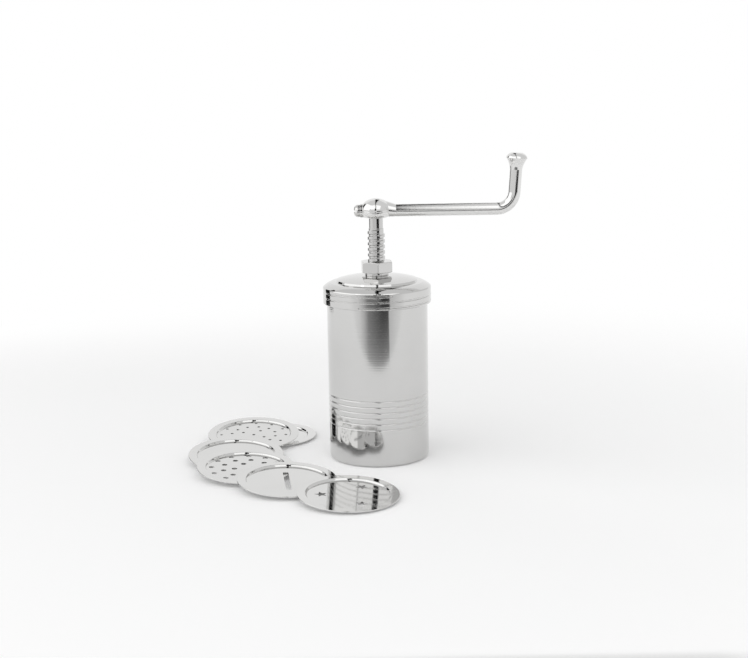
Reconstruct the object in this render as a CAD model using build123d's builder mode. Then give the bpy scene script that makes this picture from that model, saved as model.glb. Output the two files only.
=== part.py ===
"""Hand-cranked sevai press: barrel, screw lid, crank and spindle, plunger and loose die discs.

Millimetres, +Z up. The origin is the centre of the outlet in the barrel's bottom face, on the barrel's
axis. +X points along the crank's arm. The die discs lie on the table, in front and to the left.
"""
from build123d import *
import os
from math import asin, ceil, cos, degrees, floor, hypot, pi, radians, sin, sqrt, tan

# ---- barrel
barrel_diameter = 58.0
barrel_wall = 0.9
barrel_height = 99.0
outlet_diameter = 47.0
bottom_corner = 2.0
least_inner_corner = 0.3   # of a bent sheet
line_count = 6            # fine turned lines round the lower part
line_pitch = 3.28
top_line_height = 38.3
line_width = 0.8
line_depth = 0.2

# ---- rolled thread between the barrel's mouth and the lid
lid_thread_pitch = 3.2
lid_thread_width = 1.3
lid_thread_crest = 0.6
lid_thread_depth = 0.8
lid_thread_clearance = 0.35
barrel_thread_turns = 1.6
barrel_thread_margin = 0.1    # from the thread's end to the barrel's mouth
lid_thread_turns = 2.1
lid_thread_margin = 0.35      # from the lid's lower edge to its thread
lid_thread_angle = 250.0      # where the lid's thread starts, near the front

# ---- lid
lid_wall = 0.9
lid_skirt_height = 9.2
lid_seat_gap = 0.3
lid_groove_depth = 0.35
lid_corner = 0.9
shoulder_radius = 26.6
shoulder_rise = 2.7
shoulder_bow = 0.35
ledge_rise = 0.35         # the nearly flat ring between the shoulder and the step
step_radius = 23.6
step_rise = 1.1
dome_edge_radius = 23.1
dome_rise = 2.15
dome_bulge = 0.5
bush_seat_radius = 8.6

# ---- hex bush through the lid, its washer and its locknut
bush_hex = 17.0
bush_hex_height = 6.2
bush_hex_turn = 35.0
bush_collar_diameter = 13.6
bush_collar_height = 1.9
bush_shank_diameter = 12.0
bush_fit = 0.1
hex_chamfer = 0.9
bush_washer_diameter = 20.0
bush_washer_thickness = 1.2
bush_washer_gap = 0.1
locknut_hex = 17.0
locknut_height = 4.0
shank_end = 0.8           # how far the shank shows below its locknut

# ---- spindle
spindle_pitch = 3.2
spindle_root_diameter = 8.6
spindle_crest_diameter = 10.0
spindle_thread_width = 2.8
spindle_crest_width = 1.4
spindle_thread_angle = 37.0   # where the thread starts
spindle_thread_clearance = 0.1
spindle_flank_clearance = 0.12
neck_diameter = 8.0
neck_length = 6.0         # plain part that shows under the crank
spindle_thread_end = 0.15   # from the end of the thread's ridge to the neck
journal_diameter = 6.0
journal_fit = 0.08
journal_end = 0.3         # how far the journal ends inside its nut
spindle_foot_length = 4.0   # plain part above the shoulder
spindle_exposed = 24.9    # from the bush's top to the crank's underside

# ---- plunger
plunger_height_at_rest = 27.0
plunger_clearance = 0.3
plunger_wall = 1.2
plunger_rim = 8.0
plunger_corner = 1.6
well_depth = 6.2
well_radius = 9.5
thrust_washer_diameter = 14.0
thrust_washer_thickness = 1.5
plunger_washer_diameter = 12.0
plunger_washer_thickness = 1.0
plunger_nut_hex = 10.0
plunger_nut_height = 4.4
nut_fit = 0.05
swivel_gap = 0.1

# ---- crank
hub_radius = 8.4
hub_foot_radius = 5.6
hub_height = 11.1
hub_belly_bow = 1.0
hub_shoulder_bow = 0.76
hub_cap_edge = 6.0        # radius at which the hub's domed cap starts
hub_cap_rise = 1.9
hub_socket_depth = 8.6
hub_fit = 0.05
arm_diameter = 7.0
arm_height = 4.0          # the arm's axis above the hub's underside
arm_reach = 78.2
arm_bend_radius = 10.0
arm_root_start = 3.0      # the cone that fairs the arm into the hub, from inside the hub outward
arm_root_end = 11.5
arm_root_radius = 5.1     # at its start
arm_root_rise = 1.35      # its start above the arm's axis, which keeps its underside level
grip_lean = 4.0
grip_height = 31.6        # the grip's top above the arm's axis
flare_length = 9.6
flare_radius = 6.1
flare_lip = 3.0
flare_top_radius = 2.2
flare_bow = -0.5          # hollow below the lip
flare_crown_bow = 0.8

# ---- slotted screw that pins the crank to the spindle
screw_boss_radius = 3.9
screw_boss_reach = 8.8
screw_head_diameter = 7.0
screw_head_height = 3.6
screw_head_round = 2.3
screw_shank_diameter = 4.0
screw_fit = 0.05
screw_past_spindle = 1.2
screw_hole_end = 0.3
screw_slot_width = 1.0
screw_slot_depth = 1.7

# ---- die discs
disc_clearance = 0.6      # all round, inside the barrel
disc_seat_clearance = 0.3   # between the disc's step and the outlet
disc_step_slope = 0.6
disc_sheet = 0.7
disc_depth = 1.2          # how far the face lies below the rim
disc_bend = 0.45
disc_edge = 0.25
touch_gap = 0.15          # between discs that lie on each other
star_count = 3
star_circle = 14.4
star_points = 5
star_outer_radius = 3.7
star_inner_radius = 1.6
slot_length = 27.0
slot_width = 3.0
slot_turn = 97.5
large_hole_diameter = 3.0
large_hole_circles = (6.5, 13.0, 19.3)
large_hole_counts = (4, 9, 12)
large_hole_turns = (106.0, 2.0, 0.0)
small_hole_diameter = 1.8
small_hole_circles = (0.0, 7.5, 13.4, 19.5)
small_hole_counts = (1, 4, 12, 12)
small_hole_turns = (0.0, 61.0, -9.0, 0.0)
ribbon_length = 26.0
ribbon_width = 2.4
ribbon_teeth = 6
ribbon_tooth = 1.5
stick_hole_diameter = 6.0
stick_hole_circle = 7.5
stick_hole_count = 3
# where the discs lie on the table: centre of each face, and the degrees that it rises along +X and +Y
star_disc_place = (-17.2, -84.6)
star_disc_slope = (-2.4, 3.0)
slot_disc_place = (-50.9, -59.8)
slot_disc_slope = (-2.7, 3.35)
large_hole_disc_place = (-75.6, -35.0)
large_hole_disc_slope = (-2.3, 3.6)
ribbon_disc_place = (-83.5, -9.0)
ribbon_disc_slope = (-1.8, 5.2)
small_hole_disc_place = (-76.4, 31.0)
small_hole_disc_slope = (-0.7, 5.8)
stick_disc_place = (-66.5, 41.5)

# ---- values worked out from those above
barrel_radius = barrel_diameter / 2
barrel_bore = barrel_radius - barrel_wall
outlet_radius = outlet_diameter / 2
lid_bore = barrel_radius + lid_thread_depth + lid_thread_clearance
lid_radius = lid_bore + lid_wall
lid_corner_height = barrel_height + lid_seat_gap + lid_wall
lid_bottom = lid_corner_height - lid_skirt_height
shoulder_height = lid_corner_height + shoulder_rise
ledge_height = shoulder_height + ledge_rise
step_height = ledge_height + step_rise
bush_seat = step_height + dome_rise
lid_under_bush = bush_seat - lid_wall
barrel_thread_length = barrel_thread_turns * lid_thread_pitch
barrel_thread_start = barrel_height - barrel_thread_length - lid_thread_width / 2 - barrel_thread_margin
lid_thread_length = lid_thread_turns * lid_thread_pitch
lid_thread_start = lid_bottom + lid_thread_margin + lid_thread_width / 2
threads_apart = 360 * (barrel_thread_start - lid_thread_start) / lid_thread_pitch
barrel_thread_angle = lid_thread_angle + 180 + threads_apart   # midway between the lid's turns

bush_shank_radius = bush_shank_diameter / 2
bush_hex_bottom = bush_seat + bush_collar_height
bush_top = bush_hex_bottom + bush_hex_height
bush_washer_bottom = lid_under_bush - bush_washer_gap - bush_washer_thickness
locknut_bottom = bush_washer_bottom - bush_washer_gap - locknut_height
bush_bottom = locknut_bottom - shank_end

root_radius = spindle_root_diameter / 2
crest_radius = spindle_crest_diameter / 2
bush_bore = root_radius + spindle_thread_clearance
neck_radius = neck_diameter / 2
journal_radius = journal_diameter / 2
hub_bottom = bush_top + spindle_exposed
thread_top = hub_bottom - neck_length
well_top = plunger_height_at_rest + well_depth + plunger_wall
thrust_washer_bottom = well_top + swivel_gap
spindle_shoulder = thrust_washer_bottom + thrust_washer_thickness + swivel_gap
thread_bottom = spindle_shoulder + spindle_foot_length
spindle_thread_length = thread_top - thread_bottom - spindle_thread_width / 2 - spindle_thread_end
plunger_radius = barrel_bore - plunger_clearance
plunger_washer_bottom = well_top - plunger_wall - swivel_gap - plunger_washer_thickness
plunger_nut_bottom = plunger_washer_bottom - plunger_nut_height
journal_bottom = plunger_nut_bottom - journal_end
flank_slope = (spindle_thread_width - spindle_crest_width) / (crest_radius - root_radius)
groove_widening = 2 * spindle_flank_clearance - flank_slope * spindle_thread_clearance

arm_axis = hub_bottom + arm_height
arm_radius = arm_diameter / 2
screw_radius = screw_shank_diameter / 2
screw_tip = neck_radius + screw_past_spindle

disc_radius = barrel_bore - disc_clearance
disc_step_radius = outlet_radius - disc_seat_clearance
disc_face_radius = disc_step_radius - disc_step_slope
disc_height = disc_depth + disc_sheet
ridge_bite = 0.25         # how deep a thread's ridge is rooted in its core
cut_margin = 1.0          # how far a cut reaches past the faces that it opens
rim_steps = 360

os.makedirs("parts", exist_ok=True)


def save(name, part):
    part.label = name
    export_step(part, f"parts/{name}.step")


def helical_ridge(radius, tip, base, crest, pitch, start, length, turn=0.0):
    """A right-hand ridge of trapezoid section along a helix; a negative tip makes it grow inward."""
    root = -ridge_bite if tip > 0 else ridge_bite
    with BuildPart() as ridge:
        with BuildLine(Plane.XY.offset(start)):
            path = Helix(pitch=pitch, height=length, radius=radius)
        with BuildSketch(Plane(origin=path @ 0, x_dir=(1, 0, 0), z_dir=path % 0)):
            with BuildLine():
                Polyline((root, -base / 2), (tip, -crest / 2), (tip, crest / 2), (root, base / 2), close=True)
            make_face()
        sweep(is_frenet=True)
    return ridge.part.rotate(Axis.Z, turn)


def bowed(start, end, bow):
    """The middle of an arc that bows out to the right of the way from start to end."""
    along = (end[0] - start[0], end[1] - start[1])
    share = bow / hypot(*along)
    return ((start[0] + end[0]) / 2 + along[1] * share, (start[1] + end[1]) / 2 - along[0] * share)


def turn_outline(points, rounded=(), plane=Plane.XZ, axis=Axis.Z, mode=Mode.ADD):
    """Revolves an outline of (radius, height) points. Each (spot, radius) in rounded softens a corner."""
    with BuildSketch(plane) as outline:
        with BuildLine():
            Polyline(*points, close=True)
        make_face()
        for spot, radius in rounded:
            fillet(outline.vertices().sort_by_distance(spot)[0], radius)
    revolve(outline.sketch, axis=axis, mode=mode)


def ring(outer_radius, inner_radius, bottom, thickness):
    """A flat washer about the main axis."""
    with BuildSketch(Plane.XY.offset(bottom)) as flat:
        Circle(outer_radius)
        Circle(inner_radius, mode=Mode.SUBTRACT)
    extrude(flat.sketch, amount=thickness)


def hexagon_block(across_flats, bottom, height, turn=0.0):
    """A hexagon bar whose corners are turned off at both ends; the first thing made in its part."""
    with BuildSketch(Plane.XY.offset(bottom)) as hexagon:
        RegularPolygon(across_flats / 2, 6, major_radius=False, rotation=turn)
    extrude(hexagon.sketch, amount=height)
    corner = across_flats / sqrt(3)
    top = bottom + height
    slope = hex_chamfer * tan(radians(30))
    turned_corners = (
        (0, bottom),
        (corner - hex_chamfer, bottom),
        (corner, bottom + slope),
        (corner, top - slope),
        (corner - hex_chamfer, top),
        (0, top),
    )
    turn_outline(turned_corners, mode=Mode.INTERSECT)


# ---- barrel: drawn tube with an inward ledge, fine turned lines and a rolled thread at its mouth
barrel_thread = helical_ridge(barrel_radius, lid_thread_depth, lid_thread_width, lid_thread_crest,
                              lid_thread_pitch, barrel_thread_start, barrel_thread_length, barrel_thread_angle)
with BuildPart() as barrel:
    barrel_outline = (
        (outlet_radius, 0),
        (barrel_radius, 0),
        (barrel_radius, barrel_height),
        (barrel_bore, barrel_height),
        (barrel_bore, barrel_wall),
        (outlet_radius, barrel_wall),
    )
    barrel_corners = (
        ((barrel_radius, 0), bottom_corner),
        ((barrel_bore, barrel_wall), max(bottom_corner - barrel_wall, least_inner_corner)),
    )
    turn_outline(barrel_outline, barrel_corners)
    with BuildSketch(Plane.XZ) as turned_lines:
        for line in range(line_count):
            with Locations((barrel_radius, top_line_height - line * line_pitch)):
                Ellipse(line_depth, line_width / 2)
    revolve(turned_lines.sketch, axis=Axis.Z, mode=Mode.SUBTRACT)
    add(barrel_thread)
save("barrel", barrel.part)

# ---- lid: spun cap; a ridge inside its skirt and a groove outside follow one helix
lid_thread = helical_ridge(lid_bore, -lid_thread_depth, lid_thread_width, lid_thread_crest,
                           lid_thread_pitch, lid_thread_start, lid_thread_length, lid_thread_angle)
lid_groove = helical_ridge(lid_radius, -lid_groove_depth, lid_thread_width, lid_thread_crest,
                           lid_thread_pitch, lid_thread_start, lid_thread_length, lid_thread_angle)
with BuildPart() as lid:
    hole_radius = bush_shank_radius + bush_fit
    crown_radius = (dome_edge_radius + bush_seat_radius) / 2
    crown_height = step_height + dome_rise / 2 + dome_bulge
    inside = lid_wall / 2          # the sheet's inner corners lie this much nearer to the axis
    corner = (lid_radius, lid_corner_height)
    shoulder = (shoulder_radius, shoulder_height)
    crown = (crown_radius, crown_height)
    corner_inside = (lid_bore, lid_corner_height - lid_wall)
    shoulder_inside = (shoulder_radius - inside, shoulder_height - lid_wall)
    with BuildSketch(Plane.XZ) as lid_section:
        with BuildLine():
            Line((lid_radius, lid_bottom), corner)
            ThreePointArc(corner, bowed(corner, shoulder, shoulder_bow), shoulder)
            Polyline(shoulder, (step_radius, ledge_height), (dome_edge_radius, step_height))
            ThreePointArc((dome_edge_radius, step_height), crown, (bush_seat_radius, bush_seat))
            Polyline(
                (bush_seat_radius, bush_seat),
                (hole_radius, bush_seat),
                (hole_radius, lid_under_bush),
                (bush_seat_radius, lid_under_bush),
            )
            ThreePointArc(
                (bush_seat_radius, lid_under_bush),
                (crown_radius, crown_height - lid_wall),
                (dome_edge_radius - inside, step_height - lid_wall),
            )
            Polyline(
                (dome_edge_radius - inside, step_height - lid_wall),
                (step_radius - inside, ledge_height - lid_wall),
                shoulder_inside,
            )
            ThreePointArc(shoulder_inside, bowed(shoulder_inside, corner_inside, -shoulder_bow), corner_inside)
            Polyline(corner_inside, (lid_bore, lid_bottom), (lid_radius, lid_bottom))
        make_face()
        fillet(lid_section.vertices().sort_by_distance((lid_radius, lid_corner_height))[0], lid_corner)
        fillet(lid_section.vertices().sort_by_distance((lid_radius, lid_bottom))[0], lid_wall / 2)
    revolve(axis=Axis.Z)
    add(lid_thread)
    add(lid_groove, mode=Mode.SUBTRACT)
save("lid", lid.part)

# ---- hex bush: it holds the spindle's nut thread and passes through the lid
turns_below = floor((bush_bottom - thread_bottom) / spindle_pitch) - 1
bush_thread_start = thread_bottom + turns_below * spindle_pitch
bush_thread_turns = ceil((bush_top - bush_thread_start) / spindle_pitch) + 1
bush_thread = helical_ridge(bush_bore, crest_radius - root_radius, spindle_thread_width + groove_widening,
                            spindle_crest_width + groove_widening, spindle_pitch, bush_thread_start,
                            bush_thread_turns * spindle_pitch, spindle_thread_angle)
with BuildPart() as hex_bush:
    hexagon_block(bush_hex, bush_hex_bottom, bush_hex_height, bush_hex_turn)
    ring(bush_collar_diameter / 2, bush_bore, bush_seat, bush_collar_height)
    ring(bush_shank_radius, bush_bore, bush_bottom, bush_seat - bush_bottom)
    with BuildSketch(Plane.XY.offset(bush_bottom)) as bore:
        Circle(bush_bore)
    extrude(bore.sketch, amount=bush_top - bush_bottom, mode=Mode.SUBTRACT)
    add(bush_thread, mode=Mode.SUBTRACT)
save("hex_bush", hex_bush.part)

with BuildPart() as bush_washer:
    ring(bush_washer_diameter / 2, bush_shank_radius + bush_fit, bush_washer_bottom, bush_washer_thickness)
save("bush_washer", bush_washer.part)

with BuildPart() as bush_locknut:
    hexagon_block(locknut_hex, locknut_bottom, locknut_height, bush_hex_turn)
    with BuildSketch(Plane.XY.offset(locknut_bottom)) as bore:
        Circle(bush_shank_radius + bush_fit)
    extrude(bore.sketch, amount=locknut_height, mode=Mode.SUBTRACT)
save("bush_locknut", bush_locknut.part)

# ---- spindle: journal, shoulder, coarse thread and neck, turned from one bar
spindle_thread = helical_ridge(root_radius, crest_radius - root_radius, spindle_thread_width, spindle_crest_width,
                               spindle_pitch, thread_bottom, spindle_thread_length, spindle_thread_angle)
spindle_top = hub_bottom + hub_socket_depth - hub_fit
with BuildPart() as spindle:
    spindle_outline = (
        (0, journal_bottom),
        (journal_radius, journal_bottom),
        (journal_radius, spindle_shoulder),
        (root_radius, spindle_shoulder),
        (root_radius, thread_top),
        (neck_radius, thread_top),
        (neck_radius, spindle_top),
        (0, spindle_top),
    )
    turn_outline(spindle_outline)
    add(spindle_thread)
    with BuildSketch(Plane.YZ) as cross_hole:
        with Locations((0, arm_axis)):
            Circle(screw_radius + screw_fit)
    extrude(cross_hole.sketch, amount=neck_diameter, both=True, mode=Mode.SUBTRACT)
save("spindle", spindle.part)

# ---- crank: hub, round arm, bend and flared grip, cast in one piece
lean = radians(grip_lean)
grip_direction = Vector(sin(lean), 0, cos(lean))
stem_height = grip_height - flare_length
flare_base = Vector(arm_reach + stem_height * tan(lean), 0, arm_axis + stem_height)
with BuildPart() as crank:
    hub_top = hub_bottom + hub_height
    foot = (hub_foot_radius, hub_bottom)
    waist = (hub_radius, arm_axis)
    cap_edge = (hub_cap_edge, hub_top - hub_cap_rise)
    cap_radius = (hub_cap_edge ** 2 + hub_cap_rise ** 2) / (2 * hub_cap_rise)
    cap_angle = degrees(asin(hub_cap_edge / cap_radius))
    with BuildSketch(Plane.YZ) as hub_section:
        with BuildLine():
            ThreePointArc(foot, bowed(foot, waist, hub_belly_bow), waist)
            ThreePointArc(waist, bowed(waist, cap_edge, hub_shoulder_bow), cap_edge)
            CenterArc((0, hub_top - cap_radius), cap_radius, 90 - cap_angle, cap_angle)
            Polyline((0, hub_top), (0, hub_bottom), foot)
        make_face()
    revolve(axis=Axis.Z)
    # the arm's root, faired into the hub
    for reach, rise, radius in ((arm_root_start, arm_root_rise, arm_root_radius), (arm_root_end, 0, arm_radius)):
        with BuildSketch(Plane.YZ.offset(reach)):
            with Locations((0, arm_axis + rise)):
                Circle(radius)
    loft(ruled=True)
    with BuildLine() as arm_line:
        FilletPolyline((arm_root_end, 0, arm_axis), (arm_reach, 0, arm_axis), flare_base, radius=arm_bend_radius)
    with BuildSketch(Plane(origin=(arm_root_end, 0, arm_axis), x_dir=(0, 1, 0), z_dir=(1, 0, 0))) as arm_section:
        Circle(arm_radius)
    sweep(arm_section.sketch, path=arm_line.line)
    # the grip's flared end, turned about its leaning axis
    flare_plane = Plane(origin=flare_base, x_dir=(cos(lean), 0, -sin(lean)), z_dir=(0, -1, 0))
    neck_end = (arm_radius, 0)
    lip = (flare_radius, flare_length - flare_lip)
    crown = (flare_top_radius, flare_length)
    with BuildSketch(flare_plane) as flare_section:
        with BuildLine():
            ThreePointArc(neck_end, bowed(neck_end, lip, flare_bow), lip)
            ThreePointArc(lip, bowed(lip, crown, flare_crown_bow), crown)
            Polyline(crown, (0, flare_length), (0, 0), neck_end)
        make_face()
    revolve(flare_section.sketch, axis=Axis(flare_base, grip_direction))
    with BuildSketch(Plane.YZ) as boss_section:
        with Locations((0, arm_axis)):
            Circle(screw_boss_radius)
    extrude(boss_section.sketch, amount=-screw_boss_reach)
    with BuildSketch(Plane.XY.offset(hub_bottom)) as socket:
        Circle(neck_radius + hub_fit)
    extrude(socket.sketch, amount=hub_socket_depth, mode=Mode.SUBTRACT)
    screw_hole_length = screw_boss_reach + screw_tip + screw_hole_end
    with BuildSketch(Plane.YZ.offset(-screw_boss_reach)) as screw_hole:
        with Locations((0, arm_axis)):
            Circle(screw_radius + screw_fit)
    extrude(screw_hole.sketch, amount=screw_hole_length, mode=Mode.SUBTRACT)
save("crank", crank.part)

# ---- slotted screw in line with the arm; its shank goes through the hub's wall and the spindle
screw_plane = Plane(origin=(-screw_boss_reach, 0, arm_axis), x_dir=(0, 0, 1), z_dir=(0, -1, 0))
screw_axis = Axis((0, 0, arm_axis), (-1, 0, 0))
screw_length = screw_boss_reach + screw_tip
with BuildPart() as crank_screw:
    screw_outline = (
        (0, -screw_length),
        (screw_radius, -screw_length),
        (screw_radius, 0),
        (screw_head_diameter / 2, 0),
        (screw_head_diameter / 2, screw_head_height),
        (0, screw_head_height),
    )
    head_corner = (((screw_head_diameter / 2, screw_head_height), screw_head_round),)
    turn_outline(screw_outline, head_corner, plane=screw_plane, axis=screw_axis)
    head_face = Plane(origin=(-screw_boss_reach - screw_head_height, 0, arm_axis), x_dir=(0, 1, 0), z_dir=(1, 0, 0))
    with BuildSketch(head_face) as slot:
        Rectangle(screw_head_diameter + 2 * cut_margin, screw_slot_width)
    extrude(slot.sketch, amount=screw_slot_depth, mode=Mode.SUBTRACT)
save("crank_screw", crank_screw.part)

# ---- plunger: pressed cup whose raised middle hides the nut
with BuildPart() as plunger_cup:
    plate_bottom = plunger_height_at_rest
    plate_top = plate_bottom + plunger_wall
    hole_radius = journal_radius + journal_fit
    rim_inside = plunger_radius - plunger_wall
    plunger_outline = (
        (hole_radius, well_top),
        (well_radius + plunger_wall, well_top),
        (well_radius + plunger_wall, plate_top),
        (rim_inside, plate_top),
        (rim_inside, plate_bottom + plunger_rim),
        (plunger_radius, plate_bottom + plunger_rim),
        (plunger_radius, plate_bottom),
        (well_radius, plate_bottom),
        (well_radius, well_top - plunger_wall),
        (hole_radius, well_top - plunger_wall),
    )
    plunger_corners = (
        ((plunger_radius, plate_bottom), plunger_corner),
        ((rim_inside, plate_top), max(plunger_corner - plunger_wall, least_inner_corner)),
        ((well_radius + plunger_wall, well_top), plunger_wall),
        ((well_radius, plate_bottom), plunger_wall),
    )
    turn_outline(plunger_outline, plunger_corners)
save("plunger_cup", plunger_cup.part)

with BuildPart() as thrust_washer:
    ring(thrust_washer_diameter / 2, journal_radius + journal_fit, thrust_washer_bottom, thrust_washer_thickness)
save("thrust_washer", thrust_washer.part)

with BuildPart() as plunger_washer:
    ring(plunger_washer_diameter / 2, journal_radius + nut_fit, plunger_washer_bottom, plunger_washer_thickness)
save("plunger_washer", plunger_washer.part)

with BuildPart() as plunger_nut:
    hexagon_block(plunger_nut_hex, plunger_nut_bottom, plunger_nut_height)
    with BuildSketch(Plane.XY.offset(plunger_nut_bottom)) as bore:
        Circle(journal_radius + nut_fit)
    extrude(bore.sketch, amount=plunger_nut_height, mode=Mode.SUBTRACT)
save("plunger_nut", plunger_nut.part)


# ---- die discs: dished plates that lie on each other in a fan
def rim_points(seat):
    """Points round the top of the rim of a disc on this plane, at the rim's inside and outside."""
    points = []
    for radius in (disc_step_radius, disc_radius):
        for step in range(rim_steps):
            turn = 2 * pi * step / rim_steps
            points.append(seat.from_local_coords(Vector(radius * cos(turn), radius * sin(turn), disc_height)))
    return points


def resting_plane(place, slope, below):
    """The plane of a face with this place and slope that just clears the rim of the disc below."""
    rise_x = tan(radians(slope[0]))
    rise_y = tan(radians(slope[1]))
    height = disc_face_radius * hypot(rise_x, rise_y)
    for point in rim_points(below):
        offset = Vector(point.X - place[0], point.Y - place[1])
        if offset.length < disc_step_radius + disc_sheet:
            height = max(height, point.Z + touch_gap - offset.X * rise_x - offset.Y * rise_y)
    origin = (place[0], place[1], height)
    return Plane(origin=origin, x_dir=(1, 0, rise_x), z_dir=(-rise_x, -rise_y, 1))


def disc_blank(seat):
    """The dished plate: flat face, sloping step and flat rim."""
    section = Plane(origin=seat.origin, x_dir=seat.x_dir, z_dir=-seat.y_dir)
    wall_length = sqrt(disc_step_slope ** 2 + disc_depth ** 2)
    sheet_across = disc_sheet * wall_length / disc_depth
    lean_in = disc_step_slope / disc_depth * disc_sheet
    face_inside = disc_face_radius - sheet_across + lean_in
    outline = (
        (0, 0),
        (disc_face_radius, 0),
        (disc_step_radius, disc_depth),
        (disc_radius, disc_depth),
        (disc_radius, disc_height),
        (face_inside + disc_step_slope, disc_height),
        (face_inside, disc_sheet),
        (0, disc_sheet),
    )
    rounded = (
        ((disc_face_radius, 0), disc_bend),
        ((disc_step_radius, disc_depth), disc_bend),
        ((face_inside + disc_step_slope, disc_height), disc_bend),
        ((face_inside, disc_sheet), disc_bend),
        ((disc_radius, disc_depth), disc_edge),
        ((disc_radius, disc_height), disc_edge),
    )
    turn_outline(outline, rounded, plane=section, axis=Axis(seat.origin, seat.z_dir))


def punch(pattern):
    """Cuts a pattern that lies under a face up through it."""
    extrude(pattern.sketch, amount=disc_sheet + 2 * cut_margin, mode=Mode.SUBTRACT)


def hole_rings(seat, diameter, circles, counts, turns):
    """Round holes on circles of these radii about the disc's centre; each ring starts at its own angle."""
    with BuildSketch(seat.offset(-cut_margin)) as holes:
        for circle, count, turn in zip(circles, counts, turns):
            with PolarLocations(circle, count, turn):
                Circle(diameter / 2)
    punch(holes)


stick_seat = Plane(origin=(stick_disc_place[0], stick_disc_place[1], 0))
with BuildPart() as stick_disc:
    disc_blank(stick_seat)
    hole_rings(stick_seat, stick_hole_diameter, (stick_hole_circle,), (stick_hole_count,), (90.0,))
save("stick_disc", stick_disc.part)

small_hole_seat = resting_plane(small_hole_disc_place, small_hole_disc_slope, stick_seat)
with BuildPart() as small_hole_disc:
    disc_blank(small_hole_seat)
    hole_rings(small_hole_seat, small_hole_diameter, small_hole_circles, small_hole_counts, small_hole_turns)
save("small_hole_disc", small_hole_disc.part)

ribbon_seat = resting_plane(ribbon_disc_place, ribbon_disc_slope, small_hole_seat)
with BuildPart() as ribbon_disc:
    disc_blank(ribbon_seat)
    with BuildSketch(ribbon_seat.offset(-cut_margin)) as ribbon:
        Rectangle(ribbon_length, ribbon_width)
        with Locations((0, ribbon_width / 2)):
            with GridLocations(ribbon_length / ribbon_teeth, 0, ribbon_teeth, 1):
                Circle(ribbon_tooth / 2)
    punch(ribbon)
save("ribbon_disc", ribbon_disc.part)

large_hole_seat = resting_plane(large_hole_disc_place, large_hole_disc_slope, ribbon_seat)
with BuildPart() as large_hole_disc:
    disc_blank(large_hole_seat)
    hole_rings(large_hole_seat, large_hole_diameter, large_hole_circles, large_hole_counts, large_hole_turns)
save("large_hole_disc", large_hole_disc.part)

slot_seat = resting_plane(slot_disc_place, slot_disc_slope, large_hole_seat)
with BuildPart() as slot_disc:
    disc_blank(slot_seat)
    with BuildSketch(slot_seat.offset(-cut_margin)) as long_slot:
        SlotOverall(slot_length, slot_width, rotation=slot_turn)
    punch(long_slot)
save("slot_disc", slot_disc.part)

star_seat = resting_plane(star_disc_place, star_disc_slope, slot_seat)
with BuildPart() as star_disc:
    disc_blank(star_seat)
    with BuildSketch(star_seat.offset(-cut_margin)) as stars:
        star_outline = []
        for corner in range(2 * star_points):
            reach = star_inner_radius if corner % 2 else star_outer_radius
            turn = pi * corner / star_points
            star_outline.append((reach * cos(turn), reach * sin(turn)))
        with PolarLocations(star_circle, star_count, 180.0):
            Polygon(*star_outline, align=None)
    punch(stars)
save("star_disc", star_disc.part)

for name, seat in (("star", star_seat), ("slot", slot_seat), ("large_hole", large_hole_seat),
                   ("ribbon", ribbon_seat), ("small_hole", small_hole_seat)):
    edge_drop = disc_face_radius * sqrt(1 - seat.z_dir.Z ** 2)
    print(f"{name} disc: face centre {seat.origin.Z:.2f} mm up, its lowest edge {seat.origin.Z - edge_drop:.2f} mm up")
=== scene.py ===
import math

import bpy
from mathutils import Matrix, Vector


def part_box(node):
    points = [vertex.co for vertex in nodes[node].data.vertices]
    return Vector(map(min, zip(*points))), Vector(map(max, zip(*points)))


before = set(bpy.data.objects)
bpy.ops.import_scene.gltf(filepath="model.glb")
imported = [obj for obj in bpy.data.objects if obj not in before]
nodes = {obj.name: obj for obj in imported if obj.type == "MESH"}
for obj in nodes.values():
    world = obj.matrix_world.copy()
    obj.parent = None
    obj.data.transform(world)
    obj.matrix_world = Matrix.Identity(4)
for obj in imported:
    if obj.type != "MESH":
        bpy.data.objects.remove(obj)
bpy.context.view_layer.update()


class Wire:
    # one shader socket, so that sums of sockets read as plain Python
    def __init__(self, tree, socket=None):
        self.tree = tree
        self.socket = socket

    def node(self, kind, settings=None, sockets=None, out=0):
        made = self.tree.nodes.new("ShaderNode" + kind)
        for name, value in (settings or {}).items():
            if name == "stops":
                while len(made.color_ramp.elements) < len(value):
                    made.color_ramp.elements.new(1.0)
                for element, (place, shade) in zip(made.color_ramp.elements, value):
                    element.position = place
                    element.color = (shade, shade, shade, 1)
            else:
                setattr(made, name, value)
        for name, value in (sockets or {}).items():
            if isinstance(value, Wire):
                self.tree.links.new(value.socket, made.inputs[name])
            else:
                made.inputs[name].default_value = value
        return Wire(self.tree, made.outputs[out] if made.outputs else None)

    def sum(self, operation, left, right):
        return self.node("Math", {"operation": operation}, {0: left, 1: right})

    def __add__(self, other):
        return self.sum("ADD", self, other)

    def __radd__(self, other):
        return self.sum("ADD", other, self)

    def __sub__(self, other):
        return self.sum("SUBTRACT", self, other)

    def __rsub__(self, other):
        return self.sum("SUBTRACT", other, self)

    def __mul__(self, other):
        return self.sum("MULTIPLY", self, other)

    def __rmul__(self, other):
        return self.sum("MULTIPLY", other, self)

    def __truediv__(self, other):
        return self.sum("DIVIDE", self, other)

    def __rtruediv__(self, other):
        return self.sum("DIVIDE", other, self)


def blankMaterial(name):
    material = bpy.data.materials.new(name)
    material.use_nodes = True
    material.node_tree.nodes.clear()
    return material, Wire(material.node_tree)


def clamped(value):
    return value.node("Clamp", sockets={0: value, 1: 0.0, 2: 1.0})


def spots(sheet, where, stretch, detail):
    # soft noise about 0 to 1 over a place; stretch is how many spots lie in a metre along each axis
    scaled = sheet.node("VectorMath", {"operation": "MULTIPLY"}, {0: where, 1: stretch})
    return sheet.node("TexNoise", sockets={"Vector": scaled, "Scale": 1.0, "Detail": detail})


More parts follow.
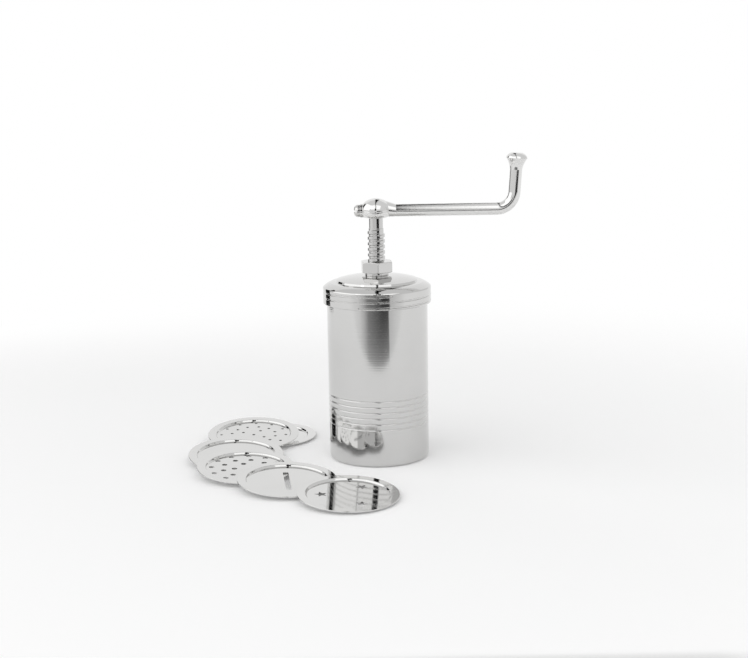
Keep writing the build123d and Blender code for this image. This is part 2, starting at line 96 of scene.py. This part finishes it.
def mixed(sheet, share, first, second):
    # a colour between two colours
    return sheet.node("Mix", {"data_type": "RGBA"}, {0: share, 6: first, 7: second}, out=2)


def dressNode(node, material):
    mesh = nodes[node].data
    mesh.materials.clear()
    mesh.materials.append(material)


polish = {         # what all the metals share; scales are spots in a metre
    "smudgeDetail": 3.0, "cloudDetail": 1.0, "lineDetail": 2.0, "roundTheAxis": 18.0, "smudgeGain": 1.6,
    "smudgeFrom": 0.3, "hairlines": (900.0, 2600.0, 700.0), "hairlineFrom": 0.66, "hairlineTo": 0.74,
    "edgeSamples": 4,
}


def smoothRise(sheet, value, start, length):
    settings = {"interpolation_type": "SMOOTHSTEP"}
    return sheet.node("MapRange", settings, {0: value, 1: start, 2: start + length})


def metalMaterial(name, look, centre=(0.0, 0.0, 0.0)):
    # polished metal: turned lines or rings, faint smudges, hairline scratches, all from noise
    material, sheet = blankMaterial(name)
    place = sheet.node("TexCoord", out=3)
    local = sheet.node("VectorMath", {"operation": "SUBTRACT"}, {0: place, 1: centre})
    smudge = spots(sheet, local, (look["smudges"],) * 3, polish["smudgeDetail"])
    cloud = spots(sheet, local, (look["clouds"],) * 3, polish["cloudDetail"])
    lines = metalLines(sheet, local, look)
    scratch = spots(sheet, local, polish["hairlines"], polish["cloudDetail"])
    scratches = sheet.node("MapRange", {"clamp": True}, {
        0: scratch, 1: polish["hairlineFrom"], 2: polish["hairlineTo"], 3: 0.0, 4: 1.0})
    dullness = clamped(smudge * polish["smudgeGain"] - polish["smudgeFrom"])
    tone = mixed(sheet, dullness, look["colour"], look["dull"])
    base = look["roughness"]
    if "satin" in look:                  # the length of the arm is duller than its polished ends
        start, end, fade, extra = look["satin"]
        along = Wire(sheet.tree, sheet.node("SeparateXYZ", sockets={0: local}).socket.node.outputs["X"])
        base = base + (smoothRise(sheet, along, start, fade) - smoothRise(sheet, along, end, fade)) * extra
    roughness = clamped(base + (cloud - 0.5) * look["spread"] + scratches * look["scratches"])
    height = lines * look["depth"] + smudge * look["waves"]
    edges = sheet.node("Bevel", {"samples": polish["edgeSamples"]}, {"Radius": look["edge"]})
    relief = sheet.node("Bump", sockets={"Strength": 1.0, "Distance": 1.0, "Height": height, "Normal": edges})
    shader = sheet.node("BsdfPrincipled", sockets={
        "Base Color": tone, "Metallic": 1.0, "Roughness": roughness, "Normal": relief})
    sheet.node("OutputMaterial", sockets={"Surface": shader})
    return material


def metalLines(sheet, local, look):
    detail = polish["lineDetail"]
    if look["grain"] == "turned":        # lines that run round the vertical axis
        return spots(sheet, local, (polish["roundTheAxis"], polish["roundTheAxis"], look["lines"]), detail)
    if look["grain"] == "rings":         # rings about a disc's centre
        apart = sheet.node("VectorMath", {"operation": "MULTIPLY"}, {0: local, 1: (1.0, 1.0, 0.0)})
        radius = sheet.node("VectorMath", {"operation": "LENGTH"}, {0: apart}, out=1)
        along = sheet.node("CombineXYZ", sockets={0: radius, 1: 0.0, 2: 0.0})
        return spots(sheet, along, (look["lines"], 1.0, 1.0), detail)
    return spots(sheet, local, (look["lines"],) * 3, detail)    # the soft ripple of hand polishing


barrelLook = {
    "colour": (0.65, 0.648, 0.642, 1), "dull": (0.60, 0.598, 0.591, 1), "roughness": 0.07, "spread": 0.03,
    "scratches": 0.05, "grain": "turned", "lines": 2600.0, "depth": 5e-6, "smudges": 30.0, "clouds": 55.0,
    "waves": 6e-6, "edge": 0.0002,
}
lidLook = dict(barrelLook, colour=(0.66, 0.657, 0.65, 1), roughness=0.07, depth=3e-6, waves=6e-6)
bushLook = dict(barrelLook, colour=(0.66, 0.655, 0.648, 1), roughness=0.07, depth=3e-6, waves=4e-6,
                edge=0.0008)
spindleLook = dict(barrelLook, colour=(0.60, 0.597, 0.59, 1), roughness=0.09, depth=4e-6, waves=4e-6)
crankLook = dict(barrelLook, colour=(0.76, 0.757, 0.748, 1), dull=(0.72, 0.717, 0.71, 1), roughness=0.10,
                 grain="polished", lines=160.0, depth=8e-6, waves=6e-6, satin=(0.007, 0.054, 0.020, 0.09))
fastenerLook = dict(barrelLook, colour=(0.64, 0.635, 0.62, 1), roughness=0.14)
plungerLook = dict(barrelLook, colour=(0.68, 0.675, 0.665, 1), roughness=0.18)
brassLook = dict(barrelLook, colour=(0.72, 0.52, 0.24, 1), dull=(0.60, 0.43, 0.20, 1), roughness=0.2)
discLook = dict(barrelLook, colour=(0.68, 0.678, 0.67, 1), dull=(0.64, 0.638, 0.63, 1), grain="rings",
                lines=2200.0, roughness=0.055, depth=2.0e-6, waves=6e-6, spread=0.03, scratches=0.03)

dressNode("barrel", metalMaterial("barrelSteel", barrelLook))
dressNode("lid", metalMaterial("lidSteel", lidLook))
dressNode("hex_bush", metalMaterial("bushSteel", bushLook))
dressNode("spindle", metalMaterial("spindleSteel", spindleLook))
dressNode("crank", metalMaterial("crankAlloy", crankLook))
dressNode("crank_screw", metalMaterial("screwSteel", fastenerLook))
platedSteel = metalMaterial("platedSteel", fastenerLook)
for fastener in ("bush_washer", "bush_locknut", "plunger_washer", "plunger_nut"):
    dressNode(fastener, platedSteel)
dressNode("plunger_cup", metalMaterial("plungerSteel", plungerLook))
dressNode("thrust_washer", metalMaterial("bearingBrass", brassLook))
for disc in ("star_disc", "slot_disc", "large_hole_disc", "ribbon_disc", "small_hole_disc", "stick_disc"):
    low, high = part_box(disc)
    dressNode(disc, metalMaterial(disc + "Steel", discLook, (low + high) / 2))
print("metals: on", len(nodes), "nodes")


studio = {
    "floorShade": 0.98, "floorGlow": 0.10, "glowNear": 0.14, "glowFar": 0.55, "floorFront": -0.64,
    "floorBack": 1.3, "floorSide": 1.8, "sweepRadius": 0.5, "sweepSteps": 16, "wallTop": 2.2,
    "worldShade": 0.95, "worldStrength": 0.84, "cardShade": 0.01, "cardRoughness": 0.9,
}
paintedShade = {        # painted shade on the table out of the picture, seen only in the metal: how dark it is by heading, and by distance
    "near": -0.284, "far": -0.60, "lift": 0.0005, "sides": (-1.6, 1.6),
    "headings": ((0.0, 0.03), (0.244, 0.21), (0.325, 0.44), (0.39, 0.76), (0.5, 0.89), (0.553, 0.95),
                 (0.64, 0.95), (0.656, 0.32), (0.756, 0.21), (1.0, 0.05)),
    "distances": ((0.0, 0.0), (0.02, 0.42), (0.082, 0.58), (0.348, 0.84), (0.589, 0.95), (0.905, 1.0)),
}


def cardMaterial():
    material, sheet = blankMaterial("darkCard")
    shade = studio["cardShade"]
    shader = sheet.node("BsdfPrincipled", sockets={
        "Base Color": (shade, shade, shade, 1), "Roughness": studio["cardRoughness"],
        "Specular IOR Level": 0.0})
    sheet.node("OutputMaterial", sockets={"Surface": shader})
    return material


def paperMaterial():
    # pale paper that glows a little towards the camera and in mirrors, so that it comes out white but keeps
    # its shadows
    material, sheet = blankMaterial("paper")
    shade = studio["floorShade"]
    paper = sheet.node("BsdfDiffuse", sockets={"Color": (shade, shade, shade, 1)})
    glow = sheet.node("Emission", sockets={"Color": (1, 1, 1, 1), "Strength": 1.0})
    seen = sheet.node("LightPath").socket.node.outputs
    direct = Wire(sheet.tree, seen["Is Camera Ray"]) + Wire(sheet.tree, seen["Is Glossy Ray"])
    place = sheet.node("TexCoord", out=3)
    apart = sheet.node("VectorMath", {"operation": "LENGTH"}, {0: place}, out=1)
    far = sheet.node("MapRange", {"interpolation_type": "SMOOTHSTEP"}, {
        0: apart, 1: studio["glowNear"], 2: studio["glowFar"], 3: studio["floorGlow"], 4: 1.0})
    share = clamped(direct + Wire(sheet.tree, seen["Is Transmission Ray"])) * far
    blend = sheet.node("MixShader", sockets={0: share, 1: paper, 2: glow})
    sheet.node("OutputMaterial", sockets={"Surface": blend})
    return material


def paintedShadeMaterial():
    # painted shade: a black sheet that thins out to nothing by heading and towards the object, standing in
    # for the shade on the table in front, for the metal to mirror
    material, sheet = blankMaterial("paintedTableShade")
    split = sheet.node("SeparateXYZ", sockets={0: sheet.node("TexCoord", out=3)}).socket.node.outputs
    across = Wire(sheet.tree, split["X"])
    back = Wire(sheet.tree, split["Y"])
    low, high = paintedShade["sides"]
    heading = across / (0.0 - back)
    turn = sheet.node("MapRange", sockets={0: heading, 1: low, 2: high, 3: 0.0, 4: 1.0})
    reach = sheet.node("MapRange", sockets={0: back, 1: paintedShade["near"], 2: paintedShade["far"], 3: 0.0, 4: 1.0})
    side = sheet.node("ValToRGB", {"stops": paintedShade["headings"]}, {0: turn})
    depth = sheet.node("ValToRGB", {"stops": paintedShade["distances"]}, {0: reach})
    dark = sheet.node("BsdfDiffuse", sockets={"Color": (0, 0, 0, 1)})
    clear = sheet.node("BsdfTransparent")
    blend = sheet.node("MixShader", sockets={0: side * depth, 1: clear, 2: dark})
    sheet.node("OutputMaterial", sockets={"Surface": blend})
    return material


def stageMesh(name, verts, faces, material):
    mesh = bpy.data.meshes.new(name)
    mesh.from_pydata(verts, [], faces)
    mesh.materials.append(material)
    for face in mesh.polygons:
        face.use_smooth = True
    sheet = bpy.data.objects.new(name, mesh)
    bpy.context.scene.collection.objects.link(sheet)
    return sheet


def makeFloor():
    # a table that ends in front, with a sweep up behind it
    path = [(studio["floorFront"], 0.0), (studio["floorBack"], 0.0)]
    for step in range(1, studio["sweepSteps"] + 1):
        turn = math.pi / 2 * step / studio["sweepSteps"]
        path.append((studio["floorBack"] + studio["sweepRadius"] * math.sin(turn),
                     studio["sweepRadius"] * (1 - math.cos(turn))))
    path.append((studio["floorBack"] + studio["sweepRadius"], studio["wallTop"]))
    side = studio["floorSide"]
    verts = [(x, y, z) for y, z in path for x in (-side, side)]
    faces = [(2 * i, 2 * i + 1, 2 * i + 3, 2 * i + 2) for i in range(len(path) - 1)]
    stageMesh("floor", verts, faces, paperMaterial())


cards = {          # corners of dark cards, all out of the picture: what the metal shows between the lamps
    "sideFlag": ((-0.351, 0.383, 0.0), (-0.471, 0.235, 0.0), (-0.471, 0.235, 0.5), (-0.351, 0.383, 0.5)),
    "cameraCard": ((-0.13, -0.87, 0.14), (0.06, -0.87, 0.14), (0.06, -0.87, 0.52), (-0.13, -0.87, 0.52)),
    "roomCard": ((0.20, -1.25, -0.13), (1.60, -1.25, -0.13), (1.60, -1.25, 0.05), (0.20, -1.25, 0.05)),
    "archFront": ((-0.03, -0.87, 0.52), (0.06, -0.87, 0.52), (0.035, -0.45, 1.00), (-0.03, -0.45, 1.00)),
    "archTop": ((-0.03, -0.45, 1.00), (0.035, -0.45, 1.00), (0.035, 0.10, 1.00), (-0.03, 0.10, 1.00)),
    "archBack": ((-0.03, 0.10, 1.00), (0.035, 0.10, 1.00), (0.18, 0.75, 0.75), (0.00, 0.75, 0.75)),
}


def makeCards():
    # none of them stands in the way of the camera from the back or the sides
    dark = cardMaterial()
    for name, corners in cards.items():
        stageMesh(name, corners, [(0, 1, 2, 3)], dark).visible_camera = False
    side, near, front, lift = studio["floorSide"], paintedShade["near"], studio["floorFront"], paintedShade["lift"]
    corners = ((-side, front, lift), (side, front, lift), (side, near, lift), (-side, near, lift))
    # a sheet of painted shade on the table, hidden from the camera, for the metal to mirror
    stageMesh("paintedShadeSheet", corners, [(0, 1, 2, 3)], paintedShadeMaterial()).visible_camera = False


lamps = {          # soft boxes
    "frontBox": {"place": (-0.1, -1.7, 1.55), "aim": (0, 0, 0.05), "size": (3.4, 2.0), "power": 12.5},
    "leftBox": {"place": (-1.7, -0.35, 1.05), "aim": (0, 0, 0.08), "size": (2.2, 1.9), "power": 9.0},
}


def addLamp(name, lampSet):
    data = bpy.data.lights.new(name, "AREA")
    data.shape = "RECTANGLE"
    data.size, data.size_y = lampSet["size"]
    data.energy = lampSet["power"]
    lamp = bpy.data.objects.new(name, data)
    lamp.location = lampSet["place"]
    towards = Vector(lampSet["aim"]) - Vector(lampSet["place"])
    lamp.rotation_euler = towards.to_track_quat("-Z", "Y").to_euler()
    bpy.context.scene.collection.objects.link(lamp)


def lightStudio():
    world = bpy.data.worlds.new("studioWorld")
    world.use_nodes = True
    world.node_tree.nodes.clear()
    sheet = Wire(world.node_tree)
    shade = studio["worldShade"]
    sky = sheet.node("Background", sockets={0: (shade, shade, shade, 1), 1: studio["worldStrength"]})
    sheet.node("OutputWorld", sockets={"Surface": sky})
    bpy.context.scene.world = world
    for name, lampSet in lamps.items():
        addLamp(name, lampSet)


view = {           # solved from the ellipses of the barrel, lid and discs; focal and frame are in pixels
    "place": (-0.0021, -0.803, 0.231), "pitch": 11.0, "roll": -0.95, "focal": 1415.0, "frame": 748.0,
    "sensor": 36.0, "nearest": 0.01,
}


def placeCamera():
    data = bpy.data.cameras.new("camera")
    data.sensor_fit = "HORIZONTAL"
    data.sensor_width = view["sensor"]
    data.lens = view["focal"] / view["frame"] * data.sensor_width
    data.clip_start = view["nearest"]
    camera = bpy.data.objects.new("camera", data)
    tilt = Matrix.Rotation(math.radians(90 - view["pitch"]), 4, "X")
    roll = Matrix.Rotation(math.radians(view["roll"]), 4, "Z")
    camera.matrix_world = Matrix.Translation(view["place"]) @ tilt @ roll
    bpy.context.scene.collection.objects.link(camera)
    bpy.context.scene.camera = camera


makeFloor()
makeCards()
lightStudio()
placeCamera()
bpy.context.scene.view_settings.view_transform = "Standard"
print("studio: floor, cards, lamps and camera placed")
